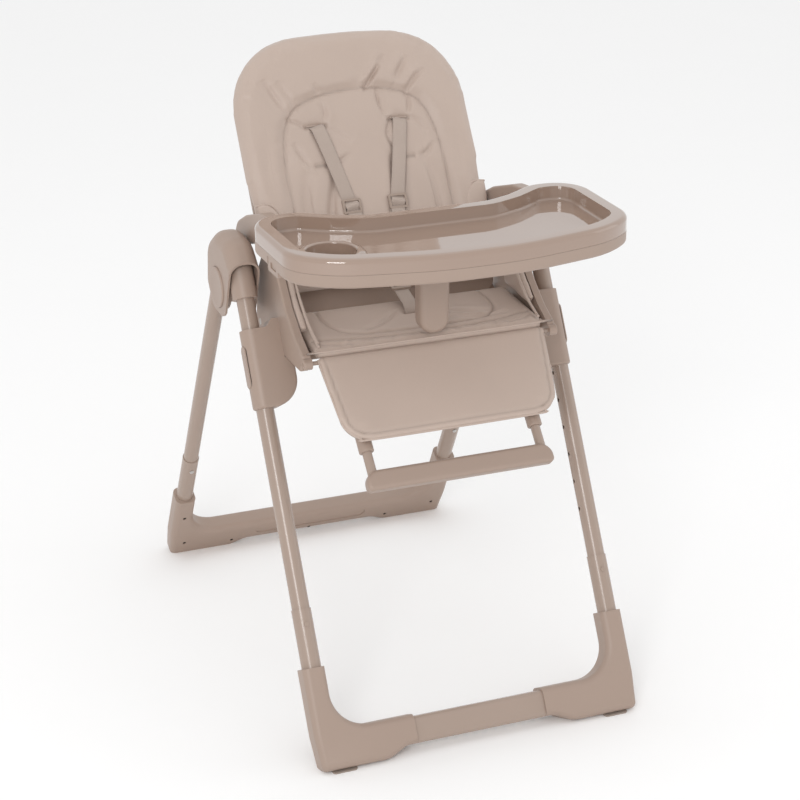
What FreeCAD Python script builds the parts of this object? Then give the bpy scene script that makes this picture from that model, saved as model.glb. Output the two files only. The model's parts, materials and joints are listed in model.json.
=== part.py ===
import FreeCAD, Part
import math
import os

# Baby high chair. Millimetres, +Z up, the child faces -Y.
# The origin is on the floor, midway between the feet.
# "right" is +X and "left" is -X; one side is built and then mirrored.

V = FreeCAD.Vector

# ---- driving dimensions -------------------------------------------------
leg_x = 270.0                 # half of the distance between the leg centres
front_lean = 29.4             # front legs, degrees from vertical
rear_lean = 28.3              # rear legs, degrees from vertical
front_floor_y = -440.7        # front leg axis where it meets the floor
rear_floor_y = 451.0          # rear leg axis where it meets the floor
pivot_y = 15.0                # fold pivot
pivot_z = 692.0

tube_wall = 1.5
front_upper_r = 15.0
front_lower_r = 16.5
rear_upper_r = 14.0
rear_lower_r = 15.5
front_seam = 268.0            # where the lower front tube ends, along the leg
rear_seam = 286.0
front_leg_end = 840.0
rear_leg_end = 800.0

foot_front = 20.0             # feet reach this far in front of the leg axis
front_foot_back = 26.0        # the front feet reach this far behind it
rear_foot_back = 20.0
foot_top = 170.0              # top of the foot sleeves, along the leg
foot_outer_x = 290.0
foot_inner_x = 251.0
foot_shelf = 65.0             # top of the moulding beside the bar
front_block_x = 117.0         # inner end of a front corner moulding
bar_low = 16.0
bar_high = 61.0
bar_depth = 33.0
bar_half = 150.0

hood_outer_x = 297.0
hood_inner_x = 243.0
hood_wall = 3.5
hood_arch_r = 23.0
button_r = 35.0
button_gap = 0.6
button_face_x = 300.0
pocket_floor_x = 287.0
pin_r = 6.0
running_gap = 0.06            # radial clearance of pins that turn

sleeve_r = 21.0               # hinge sleeve on top of the front leg
sleeve_low = 790.0
sleeve_high = 852.0

slider_low = 603.0            # height slider, along the front leg
slider_high = 737.0
slider_outer_x = 289.5
slider_inner_x = 210.0
slider_depth = 40.0
slide_gap = 0.35              # the slider's bore stands this far off the leg
hole_pitch = 48.0
hole_first = 352.0
hole_count = 6
hole_r = 3.5

seat_half = 203.0
side_in_x = 212.0
side_out_x = 226.0
arm_in_x = 215.0
arm_out_x = 240.0

back_foot_y = -38.0           # foot of the backrest's front face
back_foot_z = 650.0
back_lean = 31.05
back_half = 213.0
back_length = 479.0
recline_y = 5.0
recline_z = 624.0

calf_top_y = -214.0           # upper front edge of the calf rest
calf_top_z = 643.0
calf_lean = 42.6
calf_length = 160.0
calf_hinge_down = 15.0        # hinge rod, measured down from the upper front edge
calf_hinge_deep = 13.0        # and behind the front face
calf_rod_r = 3.5
calf_barrel_r = 7.0
foot_tube_r = 8.0
foot_tube_x = 150.0
foot_tube_depth = 37.0        # below the calf rest's front face
foot_bar_along = 222.0

tray_low = 810.0
tray_seam = 832.0
tray_high = 858.0
tray_floor = 834.0
tray_floor_thick = 3.5
tray_rim = 26.0
post_y = -214.0
cup_x = -205.0
cup_y = -298.0
cup_r = 40.0

strap_width = 25.0
strap_thick = 2.5

# ---- directions ---------------------------------------------------------


def lean_up(degrees):
    """Unit vector up a line that leans towards +Y by the angle."""
    turn = math.radians(degrees)
    return V(0, math.sin(turn), math.cos(turn))


across = V(1, 0, 0)
front_up = lean_up(front_lean)
front_out = V(0, -front_up.z, front_up.y)      # square to the front leg, forwards
rear_up = lean_up(-rear_lean)
rear_out = V(0, -rear_up.z, rear_up.y)
back_up = lean_up(back_lean)
back_out = V(0, -back_up.z, back_up.y)         # out of the backrest's front face
calf_down = V(0, 0, 0) - lean_up(calf_lean)
calf_out = V(0, calf_down.z, -calf_down.y)     # out of the calf rest's front face

front_foot_point = V(leg_x, front_floor_y, 0)
rear_foot_point = V(leg_x, rear_floor_y, 0)
pivot = V(0, pivot_y, pivot_z)
back_foot = V(0, back_foot_y, back_foot_z)
calf_top = V(0, calf_top_y, calf_top_z)
calf_hinge = calf_top + calf_down * calf_hinge_down - calf_out * calf_hinge_deep


# ---- shape helpers ------------------------------------------------------

def rounded_wire(corners, origin, right, up):
    """Closed outline through (a, b, radius) corners on the plane right, up."""
    arcs = []
    count = len(corners)
    for index, (a, b, radius) in enumerate(corners):
        here = V(a, b, 0)
        before = V(corners[index - 1][0], corners[index - 1][1], 0)
        after = V(corners[(index + 1) % count][0], corners[(index + 1) % count][1], 0)
        if radius == 0:
            arcs.append((here, None, here))
            continue
        to_before = (before - here).normalize()
        to_after = (after - here).normalize()
        half_turn = to_before.getAngle(to_after) / 2
        step = radius / math.tan(half_turn)
        middle = (to_before + to_after).normalize() * (radius / math.sin(half_turn) - radius)
        arcs.append((here + to_before * step, here + middle, here + to_after * step))

    def place(point):
        return origin + right * point.x + up * point.y

    edges = []
    for index, (start, middle, end) in enumerate(arcs):
        if middle is not None:
            edges.append(Part.Arc(place(start), place(middle), place(end)).toShape())
        next_start = arcs[(index + 1) % count][0]
        if (next_start - end).Length > 1e-6:
            edges.append(Part.makeLine(place(end), place(next_start)))
    return Part.Wire(edges)


def slab(corners, origin, right, up, start, end):
    """The outline as a plate from start to end along the plane's normal."""
    normal = right.cross(up)
    wire = rounded_wire(corners, origin + normal * start, right, up)
    return Part.Face(wire).extrude(normal * (end - start))


def side_slab(corners, x_start, x_end):
    """A plate seen from the side: corners are (y, z, radius)."""
    return slab(corners, V(0, 0, 0), V(0, 1, 0), V(0, 0, 1), x_start, x_end)


def flat_slab(corners, z_start, z_end):
    """A plate seen from above: corners are (x, y, radius)."""
    return slab(corners, V(0, 0, 0), V(1, 0, 0), V(0, 1, 0), z_start, z_end)


def rectangle(low_a, low_b, high_a, high_b, radius=0.0):
    return [
        (low_a, low_b, radius),
        (high_a, low_b, radius),
        (high_a, high_b, radius),
        (low_a, high_b, radius),
    ]


def rod(radius, start, direction, length):
    return Part.makeCylinder(radius, length, start, direction)


def pipe(outer_r, wall, start, direction, length):
    solid = rod(outer_r, start, direction, length)
    return solid.cut(rod(outer_r - wall, start, direction, length))


def mirrored(shape):
    return shape.mirror(V(0, 0, 0), V(1, 0, 0))


def both_sides(right_shape):
    return Part.makeCompound(mirrored(right_shape).Solids + right_shape.Solids)


def soften(shape, radius, wanted):
    """Round the edges that the test picks."""
    return shape.makeFillet(radius, [edge for edge in shape.Edges if wanted(edge)])


def lies_on(origin, normal, distance):
    """A test: the whole edge lies on the plane at this distance."""
    def test(edge):
        spots = edge.discretize(5)
        return all(abs((spot - origin).dot(normal) - distance) < 0.01 for spot in spots)
    return test


def any_of(*tests):
    return lambda edge: any(test(edge) for test in tests)


def parts_of(shape):
    """Only the solids of a shape, tidied after a boolean."""
    solids = shape.removeSplitter().Solids
    return solids[0] if len(solids) == 1 else Part.makeCompound(solids)


nodes = {}


def add(name, shape):
    nodes[name] = shape


def add_pair(name, right_shape):
    add(name + "_right", right_shape)
    add(name + "_left", mirrored(right_shape))


# ---- legs ---------------------------------------------------------------

def front_at(along, x=leg_x):
    return V(x, front_floor_y, 0) + front_up * along


def rear_at(along, x=leg_x):
    return V(x, rear_floor_y, 0) + rear_up * along


def leg_tubes():
    lower_start = 70.0
    overlap = 60.0
    front_lower = pipe(front_lower_r, tube_wall, front_at(lower_start), front_up,
                       front_seam - lower_start)
    front_upper = pipe(front_upper_r, tube_wall, front_at(front_seam - overlap), front_up,
                       front_leg_end - front_seam + overlap)
    for index in range(hole_count):
        hole_centre = front_at(hole_first + hole_pitch * index)
        front_upper = front_upper.cut(rod(hole_r, hole_centre, V(-1, 0, 0), front_upper_r + 5))
    rear_lower = pipe(rear_lower_r, tube_wall, rear_at(lower_start), rear_up,
                      rear_seam - lower_start)
    rear_upper = pipe(rear_upper_r, tube_wall, rear_at(rear_seam - overlap), rear_up,
                      rear_leg_end - rear_seam + overlap)
    pin_along = 26.0
    snap_r = 4.0
    snap_reach = 3.0
    front_snap_at = front_at(front_seam - pin_along) + front_out * (front_lower_r - tube_wall)
    rear_snap_at = rear_at(rear_seam - pin_along) + rear_out * (rear_lower_r - tube_wall)
    front_snap = rod(snap_r, front_snap_at, front_out, snap_reach)
    rear_snap = rod(snap_r, rear_snap_at, rear_out, snap_reach)
    front_lower = front_lower.cut(front_snap)
    rear_lower = rear_lower.cut(rear_snap)
    add_pair("front_lower_leg", front_lower)
    add_pair("front_upper_leg", front_upper)
    add_pair("rear_lower_leg", rear_lower)
    add_pair("rear_upper_leg", rear_upper)
    add("front_snap_buttons", both_sides(front_snap))
    add("rear_snap_buttons", both_sides(rear_snap))


# ---- feet ---------------------------------------------------------------

def foot_outline(inner_end):
    """Outline of a foot corner, (x, along, radius)."""
    return [
        (foot_outer_x, foot_top, 0),
        (foot_outer_x, 60.0, 60.0),
        (foot_outer_x - 5, 0.0, 10.0),
        (168.0, 0.0, 34.0),
        (134.0, bar_low, 34.0),
        (inner_end, bar_low, 0),
        (inner_end, foot_shelf, 0),
        (foot_inner_x, foot_shelf, 58.0),
        (foot_inner_x, foot_top, 0),
    ]


def foot_block(floor_point, up, out, back, inner_end):
    origin = V(0, floor_point.y, floor_point.z)
    edge_round = 12.0
    towards = across.cross(up).dot(out)
    ends = sorted((towards * foot_front, -towards * back))
    block = slab(foot_outline(inner_end), origin, across, up, ends[0], ends[1])
    at_top = lies_on(origin, up, foot_top)
    at_end = lies_on(origin, across, inner_end)
    on_face = any_of(lies_on(origin, out, foot_front), lies_on(origin, out, -back))
    return soften(block, edge_round,
                  lambda edge: on_face(edge) and not at_top(edge) and not at_end(edge))


def above_floor(shape):
    return shape.common(Part.makeBox(800, 1200, 400, V(-400, -600, 0)))


def foot_bar(floor_point, up, depth):
    origin = V(0, floor_point.y, floor_point.z)
    corners = rectangle(-bar_half, bar_low, bar_half, bar_high)
    bar = slab(corners, origin, across, up, -depth / 2, depth / 2)
    return soften(bar, 8.0, lambda edge: abs(edge.tangentAt(edge.FirstParameter).x) > 0.99)


def feet():
    bar = foot_bar(front_foot_point, front_up, bar_depth)
    block = foot_block(front_foot_point, front_up, front_out, front_foot_back, front_block_x)
    block = above_floor(block)
    block = block.cut(bar)
    block = block.cut(rod(front_lower_r, front_at(70), front_up, 200))
    add_pair("front_foot", parts_of(block))
    add("front_foot_bar", bar)

    half = foot_block(rear_foot_point, rear_up, rear_out, rear_foot_back, 0.0)
    half = above_floor(half)
    half = half.cut(rod(rear_lower_r, rear_at(70), rear_up, 200))
    rear = parts_of(half.fuse(mirrored(half)))
    recess_depth = 1.4
    face = foot_front
    recess = slab(rectangle(-116, 34, 116, 60, 12.9), V(0, rear_floor_y, 0), across, rear_up,
                  face - recess_depth, face + 5)
    rear = rear.cut(recess)
    screws = []
    screw_r = 3.4
    for x, along in ((0, 24), (163, 24), (-163, 24), (262, 40), (-262, 40), (270, 120), (-270, 120)):
        spot = V(x, rear_floor_y, 0) + rear_up * along
        deep = face - 4.0
        rear = rear.cut(rod(screw_r, spot + rear_out * deep, rear_out, 20))
        screws.append(rod(screw_r, spot + rear_out * deep, rear_out, 2.5))
    add("rear_foot", parts_of(rear))
    add("rear_foot_screws", Part.makeCompound(screws))


def foot_pads():
    """Rubber pads let into the underside of the feet, flush with the floor."""
    pad_depth = 26.0
    pad_thick = 2.5
    for name, y, feet_names in (
        ("front_foot_pads", front_floor_y, ("front_foot_right", "front_foot_left")),
        ("rear_foot_pads", rear_floor_y, ("rear_foot",)),
    ):
        corners = rectangle(225, y - pad_depth / 2, 268, y + pad_depth / 2, 6)
        pad = flat_slab(corners, 0, pad_thick)
        pads = both_sides(pad)
        for foot in feet_names:
            nodes[foot] = parts_of(nodes[foot].cut(pads))
        add(name, pads)


# ---- fold hinge ---------------------------------------------------------

def front_hinge():
    """Sleeve on top of the front leg with the boss that turns on the pivot pin."""
    boss_low_x = 257.0
    boss_high_x = 283.0
    boss_r = 28.0
    sleeve = rod(sleeve_r, front_at(sleeve_low), front_up, sleeve_high - sleeve_low)
    sleeve = soften(sleeve, 12.0, lies_on(front_at(sleeve_high), front_up, 0))
    sleeve = soften(sleeve, 1.2, lies_on(front_at(sleeve_low), front_up, 0))
    boss = rod(boss_r, V(boss_low_x, pivot_y, pivot_z), across, boss_high_x - boss_low_x)
    foot_on_axis = (pivot - V(0, front_floor_y, 0)).dot(front_up)
    web_half = 19.0
    web = slab(
        rectangle(foot_on_axis - web_half, 0, foot_on_axis + web_half, 58),
        V(0, front_floor_y, 0), front_up, V(0, 0, 0) - front_out,
        -boss_high_x, -boss_low_x,
    )
    if web.BoundBox.XMin < 0:
        web = mirrored(web)
    hinge = sleeve.fuse(web).fuse(boss)
    hinge = hinge.cut(rod(front_upper_r, front_at(sleeve_low - 5), front_up,
                          front_leg_end - sleeve_low + 5))
    hinge = hinge.cut(rod(pin_r + running_gap, V(200, pivot_y, pivot_z), across, 120))
    add_pair("front_hinge", parts_of(hinge))


hood_eave = 712.0
hood_lip_low = (-26, 658)       # the front opening's lip, from here
hood_lip_high = (-60, 754)      # up to here
hood_roof = [(*hood_lip_high, 0), (-26, 783, 50), (34, 788, 55), (84, 754, 45), (88, hood_eave, 0)]


def hood():
    """Cover fixed to the rear leg. It wraps the pivot and is open at the front."""
    outline = hood_roof + [(60, 672, 4), (44, 649, 30), (-12, 646, 26), (*hood_lip_low, 5)]
    shell = side_slab(outline, hood_inner_x, hood_outer_x)

    def roof_edge(edge):
        spots = edge.discretize(5)
        on_side = any(
            all(abs(spot.x - side) < 0.01 for spot in spots)
            for side in (hood_inner_x, hood_outer_x)
        )
        lip_run = V(0, *hood_lip_high) - V(0, *hood_lip_low)
        on_lip = all(abs((spot - V(spot.x, *hood_lip_low)).cross(lip_run).x) < 10 for spot in spots)
        return on_side and not on_lip and all(spot.z > hood_eave - 0.1 for spot in spots)

    shell = soften(shell, hood_arch_r, roof_edge)
    mouth_y = -142
    below = 560
    cavity_outline = [(mouth_y, 684, 0)] + hood_roof[1:] + [(88, below, 0), (mouth_y, below, 0)]
    cavity_origin = V(hood_inner_x + hood_wall, 0, 0)
    cavity_wire = rounded_wire(cavity_outline, cavity_origin, V(0, 1, 0), V(0, 0, 1))
    inner_wire = cavity_wire.makeOffset2D(-hood_wall)
    inner_width = hood_outer_x - hood_inner_x - 2 * hood_wall
    cavity = Part.Face(inner_wire).extrude(V(inner_width, 0, 0))

    def cavity_edge(edge):
        spots = edge.discretize(5)
        on_side = any(
            all(abs(spot.x - side) < 0.01 for spot in spots)
            for side in (hood_inner_x + hood_wall, hood_outer_x - hood_wall)
        )
        on_mouth = all(spot.y < mouth_y + 12 for spot in spots)
        return on_side and not on_mouth and all(spot.z > hood_eave - 12 for spot in spots)

    cavity = soften(cavity, hood_arch_r - hood_wall, cavity_edge)
    outside = shell.copy()
    shell = shell.cut(cavity)
    pocket_wall = rod(button_r + button_gap + 3.0, V(pocket_floor_x - 3, pivot_y, pivot_z), across,
                      hood_outer_x - pocket_floor_x + 3)
    spacer = rod(12.0, V(hood_inner_x, pivot_y, pivot_z), across, 13.0)
    socket = rod(rear_upper_r + 5.0, rear_at(670), rear_up, 150)
    added = pocket_wall.fuse(spacer).fuse(socket).common(outside)
    shell = shell.fuse(added)
    shell = shell.cut(rod(button_r + button_gap, V(pocket_floor_x, pivot_y, pivot_z), across, 20))
    shell = shell.cut(rod(pin_r, V(200, pivot_y, pivot_z), across, 120))
    shell = shell.cut(rod(rear_upper_r, rear_at(600), rear_up, rear_leg_end - 600))
    add_pair("hinge_hood", parts_of(shell))
    add("pivot_pins", both_sides(rod(pin_r, V(hood_inner_x, pivot_y, pivot_z), across,
                                     pocket_floor_x - hood_inner_x)))


def fold_buttons():
    """Round release buttons in the hoods. They press inwards."""
    thick = 7.0
    button = rod(button_r, V(button_face_x - thick, pivot_y, pivot_z), across, thick)
    button = soften(button, 2.5, lies_on(V(button_face_x, 0, 0), across, 0))
    dish = Part.makeSphere(400, V(button_face_x + 400 - 1.2, pivot_y, pivot_z))
    button = button.cut(dish)
    add_pair("fold_button", parts_of(button))


# ---- height sliders -----------------------------------------------------

def side_outline():
    """Side of the seat shell, (y, z, radius)."""
    return [
        (-198, 604, 10), (-216, 634, 8), (-172, 656, 45), (-126, 690, 60), (-86, 738, 45),
        (-78, 808, 2), (-18, 808, 2), (-14, 756, 40), (26, 700, 40), (26, 604, 18),
    ]


def height_slider():
    outline = [
        (slider_outer_x, slider_low, 0),
        (slider_outer_x, slider_high, 0),
        (248, slider_high, 12),
        (238, slider_high + 13, 0),
        (slider_inner_x + 5, slider_high + 13, 0),
        (slider_inner_x, slider_high - 50, 60),
        (slider_inner_x, slider_low, 46),
    ]
    origin = V(0, front_floor_y, 0)
    half = slider_depth / 2
    body = slab(outline, origin, across, front_up, -half, half)
    body = soften(body, half - 0.6, lambda edge: (
        all(abs(spot.x - slider_outer_x) < 0.01 for spot in edge.discretize(3))
        and abs(edge.tangentAt(edge.FirstParameter).x) < 0.1
        and edge.Length > 100
    ))
    normal = across.cross(front_up)

    def inner_rim(edge):
        spots = edge.discretize(5)
        flat = any(all(abs((spot - origin).dot(normal) - side) < 0.01 for spot in spots)
                   for side in (-half, half))
        return flat and all(spot.x < 262 for spot in spots) and \
            all((spot - origin).dot(front_up) < slider_high - 40 for spot in spots)

    body = body.makeFillet(5.0, [edge for edge in body.Edges if inner_rim(edge)])
    body = body.cut(rod(front_upper_r + slide_gap, front_at(500), front_up, 400))
    body = body.cut(side_slab(side_outline(), side_in_x - 30, side_out_x))
    body = parts_of(body)
    solid = max(body.Solids, key=lambda piece: piece.Volume)

    middle = (slider_low + slider_high) / 2 + 6
    trigger_half_long = 36.0
    trigger_half_wide = 10.0
    gap = 0.4

    def oval(grow, x_start, x_end):
        corners = rectangle(
            middle - trigger_half_long - grow, -trigger_half_wide - grow,
            middle + trigger_half_long + grow, trigger_half_wide + grow,
            trigger_half_wide + grow - 0.01,
        )
        plate = slab(corners, V(0, front_floor_y, 0), front_up, front_out, 0, x_end - x_start)
        plate.translate(V(x_start - plate.BoundBox.XMin, 0, 0))
        return plate

    solid = solid.cut(oval(gap, 284.0, 300.0))
    scoop = oval(4.0, 289.2, 300.0)
    solid = solid.cut(scoop)
    add_pair("height_slider", parts_of(solid))
    trigger = oval(0, 288.0, 290.4)
    trigger = soften(trigger, 1.0, lambda edge: all(
        abs(spot.x - 290.4) < 0.01 for spot in edge.discretize(3)))
    add_pair("height_trigger", trigger)


# ---- seat ---------------------------------------------------------------

def seat_shell():
    calf_lug_r = 9.5
    side = side_slab(side_outline(), side_in_x, side_out_x)
    side = soften(side, 4.0, lambda edge: (
        all(abs(spot.x - side_out_x) < 0.01 and spot.z < 807 for spot in edge.discretize(5))))
    lug = rod(calf_lug_r, calf_hinge + V(side_in_x, 0, 0), across, side_out_x - side_in_x)
    side = parts_of(side.fuse(soften(lug, 2.0, lies_on(V(side_out_x, 0, 0), across, 0))))
    side = side.cut(rod(calf_rod_r, calf_hinge + V(180, 0, 0), across, 60))
    side = side.cut(rod(pin_r, V(180, recline_y, recline_z), across, 60))
    arm_outline = [
        (-206, 786, 8), (-206, 809.5, 6), (-132, 809.5, 3), (-128, 842, 10), (-46, 832, 60),
        (34, 806, 60), (78, 784, 30), (98, 752, 14), (72, 742, 14), (-10, 768, 40), (-80, 786, 40),
    ]
    arm = side_slab(arm_outline, arm_in_x, arm_out_x)
    arm = soften(arm, 5.0, lambda edge: (
        any(all(abs(spot.x - x) < 0.01 for spot in edge.discretize(5)) for x in (arm_in_x, arm_out_x))
        and all(spot.y > -128.5 for spot in edge.discretize(5))))
    side = side.cut(arm)
    add_pair("seat_side", parts_of(side))
    add_pair("armrest", arm)
    pan_outline = [(-188, 618, 4), (-188, 630.5, 3), (-40, 630.5, 3), (-40, 618, 4)]
    pan = side_slab(pan_outline, -side_in_x, side_in_x)
    strap_slot = Part.makeBox(strap_width + 5, 7, 80, V(-(strap_width + 5) / 2, -131, 600))
    pan = pan.cut(strap_slot)
    tube_r = 12.0
    cross_y = -112.0
    cross = pipe(tube_r, tube_wall, V(-slider_inner_x, cross_y, 618 - tube_r), across,
                 2 * slider_inner_x)
    add("seat_pan", parts_of(pan))
    add("seat_cross_tube", cross)
    cushion_outline = [
        (-201, 634, 3), (-213, 639, 3), (-216, 646, 4), (-60, 655, 12), (-46, 648, 8),
        (-46, 630.5, 3), (-186, 630.5, 0),
    ]
    cushion = side_slab(cushion_outline, -seat_half, seat_half)
    cushion = cushion.cut(strap_slot)
    add("seat_cushion", parts_of(cushion))
    wing_outline = [
        (-196, 652, 8), (-160, 668, 40), (-112, 706, 40), (-80, 750, 30), (-72, 796, 10),
        (-44, 796, 8), (-50, 740, 40), (-60, 660, 6),
    ]
    wing = side_slab(wing_outline, side_in_x - 16, side_in_x - 0.3)
    add_pair("side_wing_pad", wing)


def seat_pins():
    rod_length = 2 * side_out_x
    add("calf_hinge_rod", rod(calf_rod_r, calf_hinge - V(rod_length / 2, 0, 0), across, rod_length))
    add("recline_pins", both_sides(rod(pin_r, V(196, recline_y, recline_z), across,
                                       side_out_x - 196)))


# ---- backrest -----------------------------------------------------------

def back_slab(corners, depth_start, depth_end):
    """A plate on the backrest's plane: corners are (x, up the back, radius)."""
    return slab(corners, back_foot + back_out * depth_start, across, back_up,
                0, depth_end - depth_start)


def backrest():
    half = back_half - 7
    narrow = side_in_x - 3        # the cushion passes between the seat's sides
    shell_front = -33.0
    shell_thick = 12.0
    shell = back_slab(
        [(-half, 0, 20), (half, 0, 20), (half, back_length - 5, 124), (-half, back_length - 5, 124)],
        shell_front - shell_thick, shell_front)
    shell = soften(shell, 5.0, lies_on(back_foot, back_out, shell_front - shell_thick))
    ear = rod(13.0, V(196.5, recline_y, recline_z), across, half - 196.5)
    shell = shell.fuse(ear).fuse(mirrored(ear))
    shell = shell.cut(rod(pin_r + running_gap, V(-300, recline_y, recline_z), across, 600))
    shell_back = shell_front - shell_thick
    housing_back = shell_back - 15.0
    lever_back = shell_back - 12.0
    housing = back_slab(rectangle(-85, 385, 85, 445, 16), housing_back, shell_back)
    housing = soften(housing, 5.0, lies_on(back_foot, back_out, housing_back))
    well = back_slab(rectangle(-61, 392, 61, 434, 8), housing_back - 10, shell_back)
    housing = housing.cut(well)
    lever = back_slab(rectangle(-60, 393, 60, 420, 7), lever_back, shell_back - 1)
    lever = soften(lever, 3.0, lies_on(back_foot, back_out, lever_back))
    add("backrest_shell", parts_of(shell))
    add("recline_housing", parts_of(housing))
    add("recline_lever", lever)
    cushion = back_slab(
        [(-narrow, 34, 14), (narrow, 34, 14), (narrow, 195, 60), (back_half, 235, 60),
         (back_half, back_length, 130), (-back_half, back_length, 130), (-back_half, 235, 60),
         (-narrow, 195, 60)], shell_front, 0)
    cushion = soften(cushion, 12.0, any_of(lies_on(back_foot, back_out, 0),
                                           lies_on(back_foot, back_out, shell_front)))
    add("backrest_cushion", cushion)


def harness():
    """Five-point harness. Straps lie just clear of the cushion."""
    lift = 0.8
    half = strap_width / 2
    top_x, top_along = 77.0, 318.0
    low_x, low_along = 26.0, 96.0
    shoulder = back_slab(
        [(low_x - half, low_along, 0), (low_x + half, low_along, 0),
         (top_x + half, top_along, 0), (top_x - half, top_along, 0)], lift, lift + strap_thick)
    lap = back_slab(
        [(34, 62, 0), (34, 62 + strap_width, 0), (186, 84 + strap_width, 0), (186, 84, 0)],
        lift, lift + strap_thick)
    add("shoulder_straps", both_sides(shoulder))
    add("lap_straps", both_sides(lap))
    slider_along = 168.0
    slider_x = low_x + (top_x - low_x) * (slider_along - low_along) / (top_along - low_along)
    adjuster = back_slab(rectangle(slider_x - 17, slider_along - 13, slider_x + 17,
                                   slider_along + 13, 3), lift + strap_thick + 0.2, lift + strap_thick + 4)
    window = back_slab(rectangle(slider_x - 13, slider_along - 9, slider_x + 13,
                                 slider_along - 3, 1), 0, 20)
    window_up = back_slab(rectangle(slider_x - 13, slider_along + 3, slider_x + 13,
                                    slider_along + 9, 1), 0, 20)
    adjuster = adjuster.cut(window).cut(window_up)
    add("strap_adjusters", both_sides(parts_of(adjuster)))
    buckle_back = lift
    buckle = back_slab(rectangle(-30, 52, 30, 100, 10), buckle_back, buckle_back + 17)
    buckle = soften(buckle, 3.0, lies_on(back_foot, back_out, buckle_back + 17))
    button_hole = back_slab(rectangle(-11, 64, 11, 86, 6), buckle_back + 8, buckle_back + 30)
    buckle = buckle.cut(button_hole)
    for strap in (shoulder, mirrored(shoulder), lap, mirrored(lap)):
        buckle = buckle.cut(strap)
    add("buckle", max(parts_of(buckle).Solids, key=lambda piece: piece.Volume))
    button = back_slab(rectangle(-10.6, 64.4, 10.6, 85.6, 5.6), buckle_back + 12, buckle_back + 18)
    button = soften(button, 1.0, lies_on(back_foot, back_out, buckle_back + 18))
    add("buckle_button", button)
    foot = V(0, -127.5, 620)
    bend = V(0, -124.0, 662)
    crotch_low = Part.makeBox(strap_width, strap_thick, 42, V(-half, foot.y - strap_thick / 2, foot.z))
    buckle_low = back_foot + back_up * 50.0 + back_out * 10.0
    reach = buckle_low - bend
    length = reach.Length
    direction = reach.normalize()
    upward = direction.cross(across)
    crotch_high = slab(rectangle(-half, 0, half, length), bend, across, direction,
                       -strap_thick / 2, strap_thick / 2)
    crotch = crotch_low.fuse(crotch_high)
    add("crotch_strap", parts_of(crotch))
    middle = bend + direction * (length * 0.55) - upward * (strap_thick / 2 + 0.2)
    ring = slab([(a, b, 3) for a, b in ((-17, -12), (17, -12), (17, 12), (-17, 12))],
                middle, across, direction, 0, 4)
    gap = slab([(a, b, 1) for a, b in ((-13, -8), (13, -8), (13, 8), (-13, 8))],
               middle, across, direction, -5, 10)
    bridge = slab([(a, b, 0) for a, b in ((-14, -2.2), (14, -2.2), (14, 2.2), (-14, 2.2))],
                  middle, across, direction, 0, 4)
    add("crotch_adjuster", parts_of(ring.cut(gap).fuse(bridge)))


# ---- calf rest and footrest ---------------------------------------------

def calf_slab(corners, depth_start, depth_end):
    """A plate on the calf rest's plane: corners are (x, down the calf, radius)."""
    towards = across.cross(calf_down)
    sign = 1.0 if towards.dot(calf_out) > 0 else -1.0
    wire = rounded_wire(corners, calf_top + calf_out * depth_start, across, calf_down)
    return Part.Face(wire).extrude(towards * (sign * (depth_end - depth_start)))


def calf_outline(top, inset, corner):
    half_top = 201.0 - inset
    half_low = 186.0 - inset
    end = calf_length - inset
    return [(-half_top, top, 2), (half_top, top, 2), (half_low, end, corner), (-half_low, end, corner)]


def calf_rest():
    barrel_half = 190.0
    barrel = rod(calf_barrel_r, calf_hinge - V(barrel_half, 0, 0), across, 2 * barrel_half)
    knuckle = calf_slab(rectangle(-barrel_half, 11, barrel_half, 24), -27.0, -calf_hinge_deep)
    pad = calf_slab(calf_outline(9, 0, 48), -20.0, 0.0)
    pad = soften(pad, 7.0, lies_on(calf_top, calf_out, 0.0))
    rod_way = rod(calf_rod_r + 0.5, calf_hinge - V(300, 0, 0), across, 600)
    add("calf_pad", parts_of(pad.cut(barrel).cut(knuckle).cut(rod_way)))
    board = calf_slab(calf_outline(14, 5, 44), -27.0, -20.0)
    board = board.fuse(barrel).fuse(knuckle)
    board = board.cut(rod(calf_rod_r + running_gap, calf_hinge - V(300, 0, 0), across, 600))
    bore_start = 60.0
    socket_end = 172.0
    socket_r = 12.5
    web_half = 9.0
    for side in (-1, 1):
        start = calf_top + calf_down * bore_start - calf_out * foot_tube_depth
        start.x = side * foot_tube_x
        socket = rod(socket_r, start, calf_down, socket_end - bore_start)
        socket = soften(socket, 2.0, lies_on(calf_top, calf_down, socket_end))
        web = calf_slab(rectangle(side * foot_tube_x - web_half, bore_start,
                                  side * foot_tube_x + web_half, calf_length - 12),
                        -foot_tube_depth, -26.0)
        board = board.fuse(web).fuse(socket)
    for side in (-1, 1):
        start = calf_top + calf_down * (bore_start + 4) - calf_out * foot_tube_depth
        start.x = side * foot_tube_x
        board = board.cut(rod(foot_tube_r + 0.1, start, calf_down, 120))
    add("calf_board", parts_of(board))


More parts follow.
